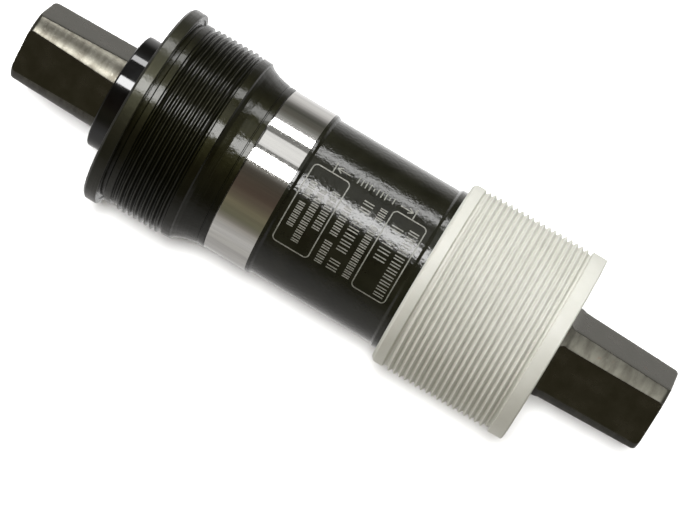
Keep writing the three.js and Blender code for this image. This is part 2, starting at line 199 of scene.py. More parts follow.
def rounded(corners, steps=FILLET_STEPS):
    """Rounds the corners of a closed outline of (station, radius, fillet, key, zone).

    A support row close to each end of a fillet keeps smooth shading from bending the flats
    beside it.
    """
    out = []
    count = len(corners)
    for i, (a, r, fillet, key, zone) in enumerate(corners):
        here = np.array([a, r], float)
        before = np.array(corners[i - 1][:2], float) - here
        after = np.array(corners[(i + 1) % count][:2], float) - here
        before_length, after_length = np.linalg.norm(before), np.linalg.norm(after)
        if not fillet:
            out.append((a, r, key, zone))
            continue
        u, v = before / before_length, after / after_length
        half = math.acos(max(-1, min(1, float(u @ v)))) / 2
        reach = min(fillet / math.tan(half), LONGEST_REACH * min(before_length, after_length))
        radius = reach * math.tan(half)
        bisector = (u + v) / np.linalg.norm(u + v)
        centre = here + bisector * radius / math.sin(half)
        start, end = here + u * reach - centre, here + v * reach - centre
        sweep = math.pi - 2 * half
        lead = here + u * (reach + min(SUPPORT, SUPPORT_SHARE * before_length))
        tail = here + v * (reach + min(SUPPORT, SUPPORT_SHARE * after_length))
        out.append((lead[0], lead[1], "", corners[i - 1][4]))
        for k in range(steps + 1):
            t = k / steps
            arc = (math.sin((1 - t) * sweep) * start + math.sin(t * sweep) * end) / math.sin(sweep)
            out.append((centre[0] + arc[0], centre[1] + arc[1], key, zone))
        out.append((tail[0], tail[1], "", zone))
    return out


def c(a, r, fillet=0.0, key="", zone=0):
    """A corner of an outline. A key says what follows it: thread or spline."""
    return (a, r, fillet, key, zone)


def divided(outline, key, step):
    """Cuts the stretches that start at a point with this key into lengths of at most step."""
    out = []
    for i, point in enumerate(outline):
        out.append(point)
        following = outline[(i + 1) % len(outline)]
        if point[2] != key or following[2] != key:
            continue
        pieces = math.ceil(math.hypot(following[0] - point[0], following[1] - point[1]) / step)
        for k in range(1, pieces):
            t = k / pieces
            a = point[0] + (following[0] - point[0]) * t
            r = point[1] + (following[1] - point[1]) * t
            out.append((a, r, key, point[3]))
    return out


def ring(name, corners, materials, count, steps=FILLET_STEPS):
    """A plain turned ring with rounded corners."""
    angles = even_angles(count)
    rows = [[a, angles, np.full(count, r), zone] for a, r, _, zone in rounded(corners, steps)]
    return skin(name, rows, materials)


# ------------------------------------------------------------------ threads and splines

def ramp(x):
    """Rises smoothly from 0 to 1."""
    x = np.clip(x, 0, 1)
    return x * x * (3 - 2 * x)


FLANK_START, FLANK_END = 0.08, 0.9      # of half a pitch, from the crest
ROUNDING = 0.12                         # of the thread's height, at the crest and at the root
FADE_IN, FADE_OUT = 0.9, 0.6            # pitches


def thread_height(a, angles, first_crest, hand, pitch, start, end):
    """Height of a thread, 0 at the root to 1 at the crest. hand is 1 for right and -1 for left."""
    phase = (a - first_crest) / pitch + hand * angles / TAU
    wave = np.abs((phase + 0.5) % 1 - 0.5) * 2
    flank = np.clip((FLANK_END - wave) / (FLANK_END - FLANK_START), 0, 1)
    low, high = ramp(ROUNDING), ramp(1 - ROUNDING)
    height = (ramp(flank * (1 - 2 * ROUNDING) + ROUNDING) - low) / (high - low)
    fade = ramp((a - start) / (FADE_IN * pitch)) * ramp((end - a) / (FADE_OUT * pitch))
    return np.clip(height, 0, 1) * fade


SPLINE_PERIOD = TAU / SPLINES
HALF_NOTCH = math.asin(SPLINE_WIDTH / 2 / SPLINE_MINOR_R)
THREAD_ROWS = 16              # to a pitch


def spline_angles():
    """Columns for a splined recess: close together at the sides of each notch."""
    side = math.radians(0.06)
    plain = (SPLINE_PERIOD / 2 - HALF_NOTCH) / 3
    offsets = [-HALF_NOTCH + side, -HALF_NOTCH / 2, 0,
               HALF_NOTCH / 2, HALF_NOTCH - side, HALF_NOTCH + side]
    offsets += [HALF_NOTCH + plain * k for k in range(1, 6)] + [SPLINE_PERIOD - HALF_NOTCH - side]
    return np.array([i * SPLINE_PERIOD + o for i in range(SPLINES) for o in offsets])


def in_notch(angles):
    """1 where an angle falls in a notch, and 0 elsewhere."""
    offset = np.abs((angles + SPLINE_PERIOD / 2) % SPLINE_PERIOD - SPLINE_PERIOD / 2)
    return (offset < HALF_NOTCH).astype(float)


def cup_rows(corners, first_crest, hand, thread_start, thread_end):
    """Rows of a threaded and splined cup from its outline."""
    angles = spline_angles()
    outline = divided(rounded(corners), "thread", PITCH / THREAD_ROWS)
    notch = in_notch(angles) * (SPLINE_MAJOR_R - SPLINE_MINOR_R)
    rows = []
    for a, r, key, zone in outline:
        radii = np.full(len(angles), float(r))
        if key == "thread":
            height = thread_height(a, angles, first_crest, hand, PITCH, thread_start, thread_end)
            radii = radii + height * (THREAD_CREST_R - THREAD_ROOT_R)
        if key == "spline":
            radii = radii + notch
        rows.append([a, angles, radii, zone])
    return rows


# ------------------------------------------------------------------ material helpers

def new_material(name):
    material = bpy.data.materials.new(name)
    material.use_nodes = True
    nodes = material.node_tree.nodes
    return material, nodes, material.node_tree.links, nodes["Principled BSDF"]


def object_noise(nodes, links, scale, detail, stretch=(1, 1, 1), roughness=0.55):
    """Noise that is fixed to the object, stretched by unequal scales."""
    where = nodes.new("ShaderNodeTexCoord")
    mapping = nodes.new("ShaderNodeMapping")
    mapping.inputs["Scale"].default_value = stretch
    noise = nodes.new("ShaderNodeTexNoise")
    noise.inputs["Scale"].default_value = scale
    noise.inputs["Detail"].default_value = detail
    noise.inputs["Roughness"].default_value = roughness
    links.new(where.outputs["Object"], mapping.inputs["Vector"])
    links.new(mapping.outputs["Vector"], noise.inputs["Vector"])
    return noise.outputs["Fac"]


def spread(nodes, links, value, low, high, to_low, to_high):
    """A value mapped from the range low to high onto another range, and held at its ends."""
    node = nodes.new("ShaderNodeMapRange")
    node.inputs["From Min"].default_value = low
    node.inputs["From Max"].default_value = high
    node.inputs["To Min"].default_value = to_low
    node.inputs["To Max"].default_value = to_high
    links.new(value, node.inputs["Value"])
    return node.outputs["Result"]


def mixed(nodes, links, factor, one, two):
    """A colour between two, each a colour or another node's output."""
    node = nodes.new("ShaderNodeMix")
    node.data_type = "RGBA"
    links.new(factor, node.inputs["Factor"])
    for socket, value in ((node.inputs["A"], one), (node.inputs["B"], two)):
        if isinstance(value, tuple):
            socket.default_value = (*value, 1)
        else:
            links.new(value, socket)
    return node.outputs["Result"]


def graded(nodes, links, value, low, high, one, two, share=1):
    """The colour one, going share of the way to two as a value rises from low to high."""
    return mixed(nodes, links, spread(nodes, links, value, low, high, 0, share), one, two)


def bumped(nodes, links, shader, *heights):
    """Chains bumps of (height, strength, distance in metres) into the shader's two normals."""
    last = None
    for height, strength, distance in heights:
        bump = nodes.new("ShaderNodeBump")
        bump.inputs["Strength"].default_value = strength
        bump.inputs["Distance"].default_value = distance
        links.new(height, bump.inputs["Height"])
        if last is not None:
            links.new(last, bump.inputs["Normal"])
        last = bump.outputs["Normal"]
    links.new(last, shader.inputs["Normal"])
    links.new(last, shader.inputs["Coat Normal"])


TURNED = (1, 0.02, 0.02)      # noise stretched round the axis, as a lathe's rings are
RUBBED_DEPTH = 0.14           # below a thread's crest
ROOT_SHADE_HEIGHT = 0.42           # above a thread's root: how far up the painted shade in the grooves reaches


def from_axis(nodes, links):
    """Distance of a point from the X axis, in metres."""
    where = nodes.new("ShaderNodeTexCoord")
    flat = nodes.new("ShaderNodeVectorMath")
    flat.operation = "MULTIPLY"
    flat.inputs[1].default_value = (0, 1, 1)
    size = nodes.new("ShaderNodeVectorMath")
    size.operation = "LENGTH"
    links.new(where.outputs["Object"], flat.inputs[0])
    links.new(flat.outputs["Vector"], size.inputs[0])
    return size.outputs["Value"]


def along_axis(nodes, links):
    """The X coordinate of a point, in metres."""
    where = nodes.new("ShaderNodeTexCoord")
    split = nodes.new("ShaderNodeSeparateXYZ")
    links.new(where.outputs["Object"], split.inputs["Vector"])
    return split.outputs["X"]


def cup_steel(name, coat_roughness):
    """Oiled dark phosphate over turned steel, rubbed lighter on the thread's crests."""
    material, nodes, links, shader = new_material(name)
    rings = object_noise(nodes, links, 5200, 3, TURNED)
    cloud = object_noise(nodes, links, 260, 5)
    grain = object_noise(nodes, links, 9000, 2)
    shade = graded(nodes, links, cloud, 0.35, 0.68,
                   (0.0065, 0.0062, 0.002), (0.0098, 0.0095, 0.0038))
    worn = graded(nodes, links, rings, 0.6, 0.75, shade, (0.02, 0.0195, 0.011), 0.5)
    rubbed = graded(nodes, links, from_axis(nodes, links), (THREAD_CREST_R - RUBBED_DEPTH) * MM,
                    THREAD_CREST_R * MM, worn, (0.03, 0.0295, 0.019), 0.6)
    links.new(rubbed, shader.inputs["Base Color"])
    links.new(spread(nodes, links, rings, 0.3, 0.7, 0.5, 0.6), shader.inputs["Roughness"])
    shader.inputs["Metallic"].default_value = 1
    shader.inputs["Coat Weight"].default_value = 1
    shader.inputs["Coat IOR"].default_value = 1.3
    shader.inputs["Coat Roughness"].default_value = coat_roughness
    bumped(nodes, links, shader,
           (rings, 0.35, 0.00002), (cloud, 0.5, 0.00025), (grain, 0.25, 0.000012))
    return material


def polished_steel():
    """The tube's bare ground land."""
    material, nodes, links, shader = new_material("polished_band")
    rings = object_noise(nodes, links, 6500, 3, TURNED)
    along = object_noise(nodes, links, 900, 3, (0.05, 1, 1))
    tint = graded(nodes, links, along, 0.4, 0.65, (0.64, 0.63, 0.61), (0.74, 0.73, 0.7))
    links.new(tint, shader.inputs["Base Color"])
    links.new(spread(nodes, links, rings, 0.3, 0.7, 0.05, 0.09), shader.inputs["Roughness"])
    shader.inputs["Metallic"].default_value = 1
    bumped(nodes, links, shader, (rings, 0.12, 0.00001), (along, 0.12, 0.00003))
    return material


def black_paint():
    """Gloss olive-black paint with a coarse orange-peel sparkle."""
    material, nodes, links, shader = new_material("black_paint")
    peel = object_noise(nodes, links, 1500, 3)
    grain = object_noise(nodes, links, 3200, 2)
    cloud = object_noise(nodes, links, 240, 4)
    tone = graded(nodes, links, cloud, 0.35, 0.7, (0.008, 0.008, 0.0035), (0.017, 0.017, 0.0095))
    links.new(tone, shader.inputs["Base Color"])
    links.new(spread(nodes, links, grain, 0.35, 0.7, 0.08, 0.2), shader.inputs["Roughness"])
    shader.inputs["IOR"].default_value = 1.22
    shader.inputs["Coat Weight"].default_value = 1
    shader.inputs["Coat IOR"].default_value = 1.29
    shader.inputs["Coat Roughness"].default_value = 0.06
    bumped(nodes, links, shader, (peel, 0.6, 0.00008), (grain, 0.35, 0.00003))
    return material


def print_ink():
    """Thin light grey ink of the printed marks."""
    material, nodes, links, shader = new_material("print_ink")
    wear = object_noise(nodes, links, 2600, 3)
    tone = graded(nodes, links, wear, 0.4, 0.62, (0.2, 0.2, 0.17), (0.32, 0.32, 0.28))
    links.new(tone, shader.inputs["Base Color"])
    shader.inputs["Roughness"].default_value = 0.5
    shader.inputs["IOR"].default_value = 1.36
    bumped(nodes, links, shader, (wear, 0.2, 0.00001))
    return material


def adapter_resin():
    """Light grey moulded resin, with painted shade darkening the roots of the thread."""
    material, nodes, links, shader = new_material("adapter_resin")
    cloud = object_noise(nodes, links, 130, 3)
    grain = object_noise(nodes, links, 4200, 2)
    tone = graded(nodes, links, cloud, 0.35, 0.65, (0.74, 0.74, 0.67), (0.8, 0.8, 0.735))
    # Painted shade: the resin's colour darkens towards the thread's roots, where the grooves lie in
    # shade.
    root_shade = spread(nodes, links, from_axis(nodes, links),
                   THREAD_ROOT_R * MM, (THREAD_ROOT_R + ROOT_SHADE_HEIGHT) * MM, 0.34, 0)
    links.new(mixed(nodes, links, root_shade, tone, (0.42, 0.42, 0.37)), shader.inputs["Base Color"])
    links.new(spread(nodes, links, grain, 0.3, 0.7, 0.45, 0.58), shader.inputs["Roughness"])
    shader.inputs["IOR"].default_value = 1.3
    bumped(nodes, links, shader, (grain, 0.15, 0.00002))
    return material


def collar_plastic():
    """Very glossy black moulded plastic."""
    material, nodes, links, shader = new_material("collar_plastic")
    flow = object_noise(nodes, links, 420, 2)
    tone = graded(nodes, links, flow, 0.4, 0.6, (0.001, 0.001, 0.001), (0.002, 0.002, 0.002))
    links.new(tone, shader.inputs["Base Color"])
    links.new(spread(nodes, links, flow, 0.3, 0.7, 0.06, 0.1), shader.inputs["Roughness"])
    shader.inputs["IOR"].default_value = 1.5
    bumped(nodes, links, shader, (flow, 0.05, 0.00003))
    return material


def spindle_flats():
    """Darkened ground steel of the flats and the shank."""
    material, nodes, links, shader = new_material("spindle_ground_steel")
    cloud = object_noise(nodes, links, 330, 5)
    brushed = object_noise(nodes, links, 2600, 4, (1, 0.12, 0.12))
    rust = object_noise(nodes, links, 420, 6, (1, 1.3, 1.3), 0.6)
    grain = object_noise(nodes, links, 6000, 2)
    tone = graded(nodes, links, cloud, 0.35, 0.7, (0.078, 0.075, 0.056), (0.105, 0.1, 0.08))
    rubbed = graded(nodes, links, brushed, 0.62, 0.8, tone, (0.14, 0.135, 0.12), 0.3)
    specks = graded(nodes, links, rust, 0.68, 0.74, rubbed, (0.1, 0.05, 0.025), 0.6)
    links.new(specks, shader.inputs["Base Color"])
    links.new(spread(nodes, links, cloud, 0.3, 0.7, 0.2, 0.3), shader.inputs["Roughness"])
    shader.inputs["Metallic"].default_value = 1
    shader.inputs["Coat Weight"].default_value = 0.3
    shader.inputs["Coat Roughness"].default_value = 0.25
    bumped(nodes, links, shader, (brushed, 0.1, 0.00001), (grain, 0.12, 0.00001))
    return material


def spindle_corners():
    """The square's turned corners: mottled, rust-specked, and duller at the non-drive end."""
    material, nodes, links, shader = new_material("spindle_turned_corners")
    blotch = object_noise(nodes, links, 900, 5, (1, 0.35, 0.35))
    fine = object_noise(nodes, links, 3000, 4, (1, 0.5, 0.5))
    rust = object_noise(nodes, links, 700, 5, roughness=0.6)
    dull_end = spread(nodes, links, along_axis(nodes, links), -20 * MM, 20 * MM, 0, 1)
    bright = mixed(nodes, links, dull_end, (0.1, 0.096, 0.08), (0.072, 0.07, 0.058))
    dark = mixed(nodes, links, dull_end, (0.055, 0.051, 0.041), (0.045, 0.043, 0.035))
    tone = graded(nodes, links, blotch, 0.35, 0.62, dark, bright)
    fleck = mixed(nodes, links, dull_end, (0.14, 0.134, 0.115), (0.075, 0.073, 0.062))
    flecked = graded(nodes, links, fine, 0.58, 0.7, tone, fleck, 0.6)
    specks = graded(nodes, links, rust, 0.64, 0.72, flecked, (0.07, 0.045, 0.03), 0.5)
    links.new(specks, shader.inputs["Base Color"])
    links.new(spread(nodes, links, dull_end, 0, 1, 0.36, 0.56), shader.inputs["Roughness"])
    shader.inputs["Metallic"].default_value = 1
    bumped(nodes, links, shader, (blotch, 0.3, 0.00003), (fine, 0.3, 0.00002))
    return material


def bearing_steel(name, tint, low, high):
    """Ground steel with a fine turned grain; low and high bound its roughness."""
    material, nodes, links, shader = new_material(name)
    rings = object_noise(nodes, links, 5200, 3, TURNED)
    cloud = object_noise(nodes, links, 500, 3)
    dark = tuple(v * 0.88 for v in tint)
    links.new(mixed(nodes, links, cloud, dark, tint), shader.inputs["Base Color"])
    links.new(spread(nodes, links, rings, 0.3, 0.7, low, high), shader.inputs["Roughness"])
    shader.inputs["Metallic"].default_value = 1
    bumped(nodes, links, shader, (rings, 0.1, 0.00001))
    return material


def dull(name, one, two, roughness, scale):
    """Rubber and nylon: two close tones, a matt surface and a fine grain."""
    material, nodes, links, shader = new_material(name)
    cloud = object_noise(nodes, links, scale, 4)
    grain = object_noise(nodes, links, scale * 12, 2)
    links.new(mixed(nodes, links, cloud, one, two), shader.inputs["Base Color"])
    patchy = spread(nodes, links, grain, 0.3, 0.7, roughness - 0.08, roughness + 0.08)
    links.new(patchy, shader.inputs["Roughness"])
    bumped(nodes, links, shader, (grain, 0.3, 0.00002))
    return material


CUP = cup_steel("cup_phosphate", 0.17)
TAPER_COAT = cup_steel("cup_taper_phosphate", 0.13)
BAND = polished_steel()
PAINT = black_paint()
INK = print_ink()
RESIN = adapter_resin()
COLLAR = collar_plastic()
SPINDLE = spindle_flats()
CORNERS = spindle_corners()
RING = bearing_steel("ring_steel", (0.62, 0.62, 0.61), 0.12, 0.22)
BALL = bearing_steel("ball_steel", (0.75, 0.75, 0.76), 0.03, 0.06)
NYLON = dull("cage_nylon", (0.3, 0.19, 0.07), (0.4, 0.26, 0.1), 0.45, 500)
RUBBER = dull("seal_rubber", (0.012, 0.012, 0.012), (0.028, 0.028, 0.027), 0.6, 600)


def place(piece, body, slot, *nodes):
    """Rides on a body, and stands for CAD nodes. The slot argument is not used."""
    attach(piece, body)
    if nodes:
        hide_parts(*nodes)
    return piece


# ------------------------------------------------------------------ drive cup

def drive_cup():
    """Flange, left-hand thread, land, taper and neck outside; recess, web and bore inside."""
    seat = SHELL_SEAT
    thread_start, thread_end = seat + 2.35, CUP_FIRST_CREST + 8.55 * PITCH
    web_start, web_end = CUP_FACE + 6, CUP_FACE + 6.9
    bore = LAND_R - 0.83
    taper = 1                 # the material of the land and the taper
    corners = [
        c(CUP_FACE, FLANGE_R - 0.45, 0.12),
        c(CUP_FACE + 0.45, FLANGE_R, 0.2),
        c(seat, FLANGE_R, 0.22),
        c(seat, 17.6, 0.05),
        c(seat - 0.2, 17.6, 0.05),
        c(seat - 0.2, THREAD_ROOT_R - 0.08, 0.15),
        c(seat + 0.9, THREAD_ROOT_R - 0.08, 0.15),
        c(seat + 1.0, 17.28, 0.1),
        c(seat + 2.15, 17.28, 0.12),
        c(thread_start, THREAD_ROOT_R, 0, "thread"),
        c(thread_end, THREAD_ROOT_R, 0, "thread"),
        c(thread_end + 0.25, 17.2, 0.15, "", taper),
        *(c(CUP_END - a, r, fillet, "", taper) for a, r, fillet in (
            (5.65, 17.12, 0.12), (5.4, 16.8, 0.1), (4.8, 16.4, 0.8), (3.4, 15.85, 2.5),
            (1.8, 15.5, 0.5), (1.25, 15.4, 0.06), (1.18, 15.24, 0.04), (1.0, 15.24, 0.04),
            (0.93, 15.4, 0.06))),
        c(CUP_END, 15.38, 0.12),
        c(CUP_END, bore, 0.1),
        c(web_end, bore),
        c(web_end, COLLAR_R + 0.2),
        c(web_start, COLLAR_R + 0.2, 0.1),
        c(web_start, SPLINE_MINOR_R, 0, "spline"),
        c(CUP_FACE + 0.25, SPLINE_MINOR_R, 0, "spline"),
        c(CUP_FACE, SPLINE_MINOR_R + 0.25, 0, "spline"),
    ]
    rows = cup_rows(corners, CUP_FIRST_CREST, -1, thread_start, thread_end)
    place(skin("drive_cup_turned", rows, [CUP, TAPER_COAT]), "cartridge", "cup_steel", "drive_cup")


# ------------------------------------------------------------------ adapter

def adapter():
    """The resin cup, with its right-hand thread outside and the lip that meets the tube inside."""
    thread_start, thread_end = ADAPTER_START + 2.45, ADAPTER_FACE - 3.1
    lip_start, lip_end = TUBE_END + 0.2, TUBE_END + 1.7
    corners = [
        c(ADAPTER_START, RIM_R - 0.85, 0.15),
        c(ADAPTER_START + 0.55, RIM_R - 0.25, 0.25),
        c(ADAPTER_START + 2.2, RIM_R - 0.25, 0.15),
        c(thread_start, THREAD_ROOT_R, 0, "thread"),
        c(thread_end, THREAD_ROOT_R, 0, "thread"),
        c(ADAPTER_FACE - 2.8, THREAD_ROOT_R, 0.08),
        c(ADAPTER_FACE - 2.72, RIM_R, 0.15),
        c(ADAPTER_FACE, RIM_R, 0.3),
        c(ADAPTER_FACE, SPLINE_MINOR_R + 0.25, 0, "spline"),
        c(ADAPTER_FACE - 0.25, SPLINE_MINOR_R, 0, "spline"),
        c(lip_end, SPLINE_MINOR_R, 0, "spline"),
        c(lip_end, 13.6, 0.15),
        c(lip_start, 13.6, 0.1),
        c(lip_start, LAND_R + 0.07),
        c(ADAPTER_START + 0.4, LAND_R + 0.07, 0.1),
        c(ADAPTER_START, LAND_R + 0.45, 0.1),
    ]
    rows = cup_rows(corners, ADAPTER_FIRST_CREST, 1, thread_start, thread_end)
    place(skin("adapter_moulding", rows, [RESIN]), "adapter", "adapter_resin", "non_drive_adapter")


# ------------------------------------------------------------------ cartridge tube and its marks

def cartridge_tube():
    """The polished land and the painted waist outside, and the bearing seats inside."""
    spigot_r = 14.4
    seat_r = 13.05
    bore_r = 12.3
    shoulder = BEARING_SHOULDER
    far_shoulder = LENGTH - shoulder
    spigot_end = CUP_END + 0.08
    paint = 1                 # the material of the painted stretch
    corners = [
        c(TUBE_START, spigot_r, 0.1),
        c(spigot_end, spigot_r),
        c(spigot_end, LAND_R, 0.12),
        c(PAINT_START, LAND_R, 0, "", paint),
        c(WAIST_START - 0.62, LAND_R, 0.35, "", paint),
        c(WAIST_START - 0.1, WAIST_R, 0.3, "", paint),
        c(WAIST_END + 0.1, WAIST_R, 0.3, "", paint),
        c(WAIST_END + 0.62, LAND_R, 0.35, "", paint),
        c(ADAPTER_START + 0.8, LAND_R),
        c(TUBE_END, LAND_R, 0.2),
        c(TUBE_END, seat_r, 0.15),
        c(far_shoulder, seat_r),
        c(far_shoulder, bore_r),
        c(shoulder, bore_r),
        c(shoulder, seat_r),
        c(TUBE_START, seat_r, 0.1),
    ]
    piece = ring("cartridge_tube_skin", corners, [BAND, PAINT], 192)
    place(piece, "cartridge", "tube_steel", "cartridge_tube")


INK_RISE = 0.02               # half the thickness of the ink, which is sunk by as much
STROKE = 0.2
INK_STEP = 0.5                # longest step along the girth
TEXT_CELL = 0.66              # width of a cell of bars, as a share of its height
GAP_CHANCE = 0.14
BAR_PLACES = (0.2, 0.62)      # of the two bars in a cell


def ribbon(path, width, closed):
    """Vertices and faces of a flat line of ink along (station, arc length) points on the waist."""
    path = np.array(path, float)
    count = len(path)
    after = np.roll(path, -1, 0) - path
    before = path - np.roll(path, 1, 0)
    if not closed:
        after[-1], before[0] = before[-1], after[0]
    unit = lambda v: v / np.linalg.norm(v, axis=1)[:, None]
    along = unit(unit(after) + unit(before))
    side = np.stack([-along[:, 1], along[:, 0]], 1) * width / 2
    vertices, faces = [], []
    for offset, r in ((side, WAIST_R - INK_RISE), (-side, WAIST_R - INK_RISE),
                      (-side, WAIST_R + INK_RISE), (side, WAIST_R + INK_RISE)):
        spot = path + offset
        vertices.append(points_of(spot[:, 0], spot[:, 1] / WAIST_R, np.full(count, r)))
    vertices = np.concatenate(vertices)
    for k in range(count if closed else count - 1):
        n = (k + 1) % count
        for edge in range(4):
            over = (edge + 1) % 4
            faces.append((edge * count + k, edge * count + n, over * count + n, over * count + k))
    if not closed:
        faces.append((0, count, 2 * count, 3 * count))
        faces.append((count - 1, 4 * count - 1, 3 * count - 1, 2 * count - 1))
    return vertices, faces


def ink(name, lines):
    """One piece of print made of several (path, width, closed) lines."""
    vertices, faces = [], []
    start = 0
    for path, width, closed in lines:
        some, more = ribbon(path, width, closed)
        vertices.append(some)
        faces += [tuple(i + start for i in face) for face in more]
        start += len(some)
    piece = mesh_object(name, np.concatenate(vertices), faces, None, [INK])
    place(piece, "cartridge", "print_ink")


def straight(a0, s0, a1, s1):
    """Points of a straight line on the waist, close enough together to follow its curve."""
    count = max(2, math.ceil(abs(s1 - s0) / INK_STEP) + 1)
    return np.stack([np.linspace(a0, a1, count), np.linspace(s0, s1, count)], 1)


def frame_path(a0, a1, s0, s1, corner):
    """A rectangle with round corners on the waist."""
    path = []
    centres = [(a1 - corner, s1 - corner, 0), (a0 + corner, s1 - corner, 1),
               (a0 + corner, s0 + corner, 2), (a1 - corner, s0 + corner, 3)]
    for i, (a, s, quarter) in enumerate(centres):
        arc = [(a + corner * math.cos(t), s + corner * math.sin(t))
               for t in np.linspace(quarter, quarter + 1, 7) * math.pi / 2]
        path += arc
        following = centres[(i + 1) % 4]
        turn = (quarter + 1) * math.pi / 2
        end = (following[0] + corner * math.cos(turn), following[1] + corner * math.sin(turn))
        path += [tuple(p) for p in straight(*arc[-1], *end)[1:-1]]
    return path


def stand_in_text(a, s0, s1, height, rng):
    """A row of plain bars round the girth, in place of a line of lettering."""
    lines = []
    s = s0
    cell = height * TEXT_CELL
    while s + cell < s1 + STROKE / 2:
        if rng.random() > GAP_CHANCE or s == s0:
            for share in BAR_PLACES:
                bar = s + cell * share
                lines.append((straight(a - height / 2, bar, a + height / 2, bar), STROKE, False))
        s += cell
    return lines


def print_marks():
    """Two frames, rows of bars in and between them, and a length line with its arrows."""
    rng = np.random.default_rng(7)
    low, high, level, top = (math.radians(angle) * WAIST_R for angle in (-33.2, 24.8, 29.5, 33.5))
    for side, first, last in (("drive", 53.2, 60.0), ("non_drive", 68.4, 74.7)):
        ink(f"print_frame_{side}_side", [(frame_path(first, last, low, high, 0.8), STROKE, True)])
    rows = [(54.75, -5.0, 4.4, 1.2), (56.75, -7.1, 4.2, 1.3), (58.8, -3.4, 4.2, 1.4),
            (61.8, -8.2, 3.5, 1.4), (64.3, -8.2, 5.7, 1.9), (67.0, -8.0, 5.7, 1.3),
            (70.4, -2.5, 5.3, 2.1), (73.2, -8.0, 5.4, 1.8)]
    ink("print_lines", [line for row in rows for line in stand_in_text(*row, rng)])
    arrow_start, arrow_length, arrow_slope, line_end = 0.4, 0.9, 0.6, 2.8
    paths = []
    for end, way in ((56.4, 1), (71.7, -1)):
        start = end + way * arrow_start
        paths.append(straight(end, high + 0.12, end, top))
        paths.append(straight(start, level, end + way * line_end, level))
        for side in (-1, 1):
            paths.append(straight(start, level, end + way * (arrow_start + arrow_length),
                                  level + side * arrow_length * arrow_slope))
    for a in np.arange(60.8, 68.0, 0.75):
        reach = 0.65 if rng.random() < 0.6 else 0.3
        paths.append(straight(a, level - reach, a, level + reach))
    ink("print_length_line", [(path, STROKE, False) for path in paths])


# ------------------------------------------------------------------ collars and seals

COLLAR_FLANGE = 1.1           # thickness
LIP_WIDTH = 2.0
GROOVE_R = 9.95


def collar_corners(face, way, back, lip_start):
    """A dust collar from its face to its flange, with a groove for the lip seal.

    way is 1 where the flange lies at higher stations, and -1 where it lies at lower ones.
    """
    at = lambda d: face + way * d
    depth = abs(back - face)
    flange = depth - COLLAR_FLANGE
    return [
        c(at(0), COLLAR_R - 0.45, 0.3),
        c(at(0.18), COLLAR_R, 0.35),
        c(at(flange), COLLAR_R, 0.1),
        c(at(flange), COLLAR_FLANGE_R, 0.1),
        c(at(depth), COLLAR_FLANGE_R, 0.1),
        c(at(depth), COLLAR_BORE_R),
        c(at(lip_start + LIP_WIDTH), COLLAR_BORE_R),
        c(at(lip_start + LIP_WIDTH), GROOVE_R),
        c(at(lip_start), GROOVE_R),
        c(at(lip_start), COLLAR_BORE_R),
        c(at(0), COLLAR_BORE_R, 0.25),
    ]


def lip_corners(face, way, lip_start):
    """A seal in the collar's groove, with two lips on the spindle."""
    at = lambda d: face + way * (lip_start + d)
    return [
        c(at(0.05), 9.9),
        c(at(1.95), 9.9),
        c(at(1.95), 9.0, 0.1),
        c(at(1.1), 8.62, 0.08),
        c(at(0.75), 9.05, 0.1),
        c(at(0.4), 8.7, 0.08),
        c(at(0.05), 9.1, 0.1),
    ]


def collars():
    """The dust collar and the lip seal of each side."""
    for side, face, way, back, lip_start in (
            ("drive", COLLAR_FACE, 1, COLLAR_BACK, 5.8),
            ("non_drive", FAR_COLLAR_FACE, -1, FAR_COLLAR_BACK, 2)):
        node = f"{side}_dust_collar"
        piece = ring(f"{node}_turned", collar_corners(face, way, back, lip_start), [COLLAR], 160, 5)
        place(piece, "cartridge", "collar_plastic", node)
        node = f"{side}_lip_seal"
        piece = ring(f"{node}_turned", lip_corners(face, way, lip_start), [RUBBER], 96, 3)
        place(piece, "cartridge", "seal_rubber", node)


# ------------------------------------------------------------------ spindle

FLAT_FILLET = 0.25
CORNER_FILLET = 0.8
DRIVE_ENVELOPE = (0, 18.4, 19.7), (7.53, 7.8, JOURNAL_R)      # depths from the tip, turned radii
NON_DRIVE_ENVELOPE = (0, 18.4, 19.0), (7.72, 8.3, JOURNAL_R)
TURNED_PAST_SQUARE = 3.0      # how far the corners' own look goes on

BOLT_PITCH = 1.0
BOLT_THREAD_HEIGHT = 0.5
BOLT_THREAD_START = 1.2
BOLT_THREAD_END = 14.0
BOLT_FIRST_CREST = 2.0

FLAT_COLUMNS = 13
EDGE_COLUMNS = 3
TURNED_COLUMNS = 7
QUARTER_COLUMNS = FLAT_COLUMNS + TURNED_COLUMNS + 2 * EDGE_COLUMNS


def square_angles(flat_half, envelope):
    """Column angles that follow the edges between the flats and the corners."""
    edge = math.acos(min(1, max(0.05, flat_half / envelope)))
    edge = min(max(edge, math.radians(4)), math.radians(43))
    step = math.radians(0.45)
    margin = 2.5 * step
    flat = np.linspace(-1, 1, FLAT_COLUMNS) * (edge - margin)
    corner = np.linspace(edge + margin, math.pi / 2 - edge - margin, TURNED_COLUMNS)
    near = np.linspace(-1.1, 1.1, EDGE_COLUMNS) * step
    quarter = np.concatenate([flat, edge + near, corner, math.pi / 2 - edge + near])
    return np.concatenate([quarter + side * math.pi / 2 for side in range(4)])


def square_radius(flat_half, envelope, local):
    """The smaller of the flats and the turned envelope, with its edges just broken."""
    soft = 0.045
    folded = (local + math.pi / 4) % (math.pi / 2) - math.pi / 4
    flat = flat_half / np.cos(folded)
    low = np.minimum(flat, envelope)
    return low - soft * np.log(np.exp((low - flat) / soft) + np.exp((low - envelope) / soft))


def flat_height(depth, length):
    """Half the width across flats at this distance from the tip, with the cutter's run-out arc."""
    height = SQUARE_HALF + min(depth, length) * TAPER
    past = depth - length
    if past <= 0:
        return height
    if past >= RUN_OUT_R:
        return height + RUN_OUT_R
    return height + RUN_OUT_R - math.sqrt(RUN_OUT_R ** 2 - past ** 2)


